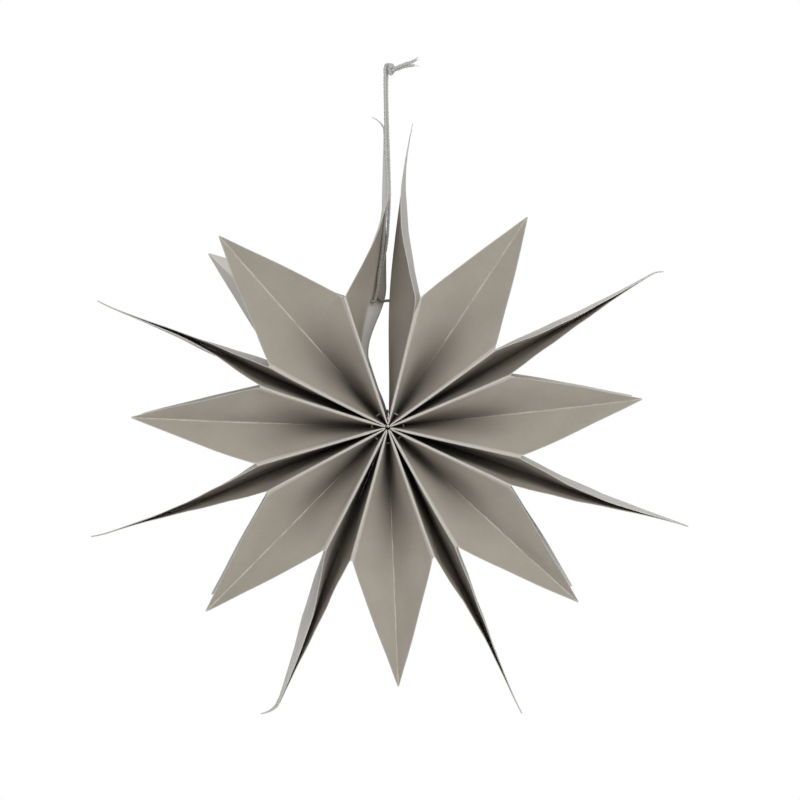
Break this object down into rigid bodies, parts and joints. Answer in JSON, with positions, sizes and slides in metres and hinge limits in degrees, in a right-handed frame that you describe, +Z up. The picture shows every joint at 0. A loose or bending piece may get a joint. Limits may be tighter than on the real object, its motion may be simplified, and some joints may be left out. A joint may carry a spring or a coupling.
{
  "type": "hanging paper star",
  "caption": "Hanging star of gusseted paper bags with pointed ends, glued side by side, fanned open to a full circle and held shut at the top by knotted strings that form the hanging loop.",
  "frame": {"origin": "inside top of the string loop, where a hook or nail takes the weight", "axes": "+Z up, -Y towards the front of the star, whose axis runs along Y, +X to the right seen from the front"},
  "size_m": [0.2879, 0.0707, 0.315],
  "materials": {
    "paper": "matte",
    "string": "matte",
    "thread": "matte"
  },
  "bodies": {
    "root": {"paper_bag_1": "paper", "paper_bag_2": "paper", "paper_bag_3": "paper", "paper_bag_4": "paper", "paper_bag_5": "paper", "paper_bag_6": "paper", "paper_bag_7": "paper", "left_string": "string", "right_string": "string", "binding_thread": "thread"}
  },
  "joints": []
}
